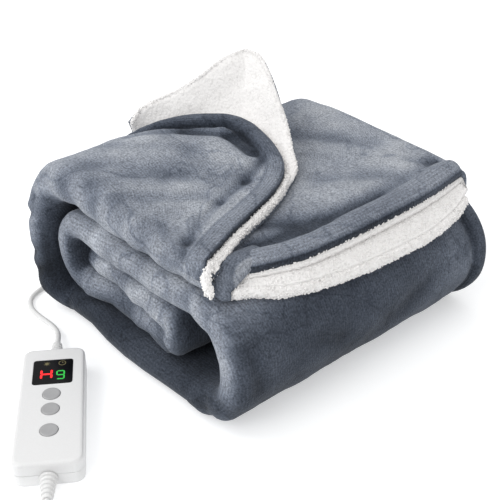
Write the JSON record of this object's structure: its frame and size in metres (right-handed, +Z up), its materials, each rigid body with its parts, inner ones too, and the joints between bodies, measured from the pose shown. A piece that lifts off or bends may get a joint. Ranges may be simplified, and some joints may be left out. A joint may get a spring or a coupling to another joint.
{
  "type": "electric heated blanket",
  "caption": "Folded grey flannel heated throw with a curly white sherpa back, a white hand controller with display and round buttons, and its cords.",
  "frame": {"origin": "middle of the footprint of the folded throw and its controller, on the surface they lie on", "axes": "+X from the folded throw's left side to its rolled front, +Y away from the controller along the rolled front, +Z up"},
  "size_m": [0.3421, 0.6744, 0.2108],
  "materials": {
    "flannel": "crushed plush flannel, blue-grey, with lighter and darker patches of nap",
    "sherpa": "off-white curly sherpa pile",
    "white_housing": "satin white moulding",
    "display_black": "glossy black window",
    "button_grey": "grey with a fine concentric brushed texture",
    "cord_white": "smooth white cord sheath",
    "tie_white": "white tie",
    "blade_metal": "plated metal blades"
  },
  "bodies": {
    "throw_and_controller": {"flannel_throw": "flannel", "sherpa_corner": "sherpa", "sherpa_mouth": "sherpa", "controller_base": "white_housing", "controller_top": "white_housing", "display_window": "display_black", "mains_relief": "cord_white", "blanket_relief": "cord_white", "lead_sleeve": "cord_white", "blanket_lead": "cord_white", "mains_lead_in": "cord_white", "mains_lead_out": "cord_white", "mains_coil": "cord_white", "coil_tie": "tie_white", "mains_plug": "white_housing", "plug_blade_1": "blade_metal", "plug_blade_2": "blade_metal"},
    "key_1": {"button_1": "button_grey"},
    "key_2": {"button_2": "button_grey"},
    "key_3": {"button_3": "button_grey"}
  },
  "joints": [
    {"name": "button_1_press", "type": "slide", "parent": "throw_and_controller", "child": "key_1", "axis": [0, 0, -1], "range_m": [0, 0.0006], "stiffness_N_per_m": 1500},
    {"name": "button_2_press", "type": "slide", "parent": "throw_and_controller", "child": "key_2", "axis": [0, 0, -1], "range_m": [0, 0.0006], "stiffness_N_per_m": 1500},
    {"name": "button_3_press", "type": "slide", "parent": "throw_and_controller", "child": "key_3", "axis": [0, 0, -1], "range_m": [0, 0.0006], "stiffness_N_per_m": 1500}
  ]
}
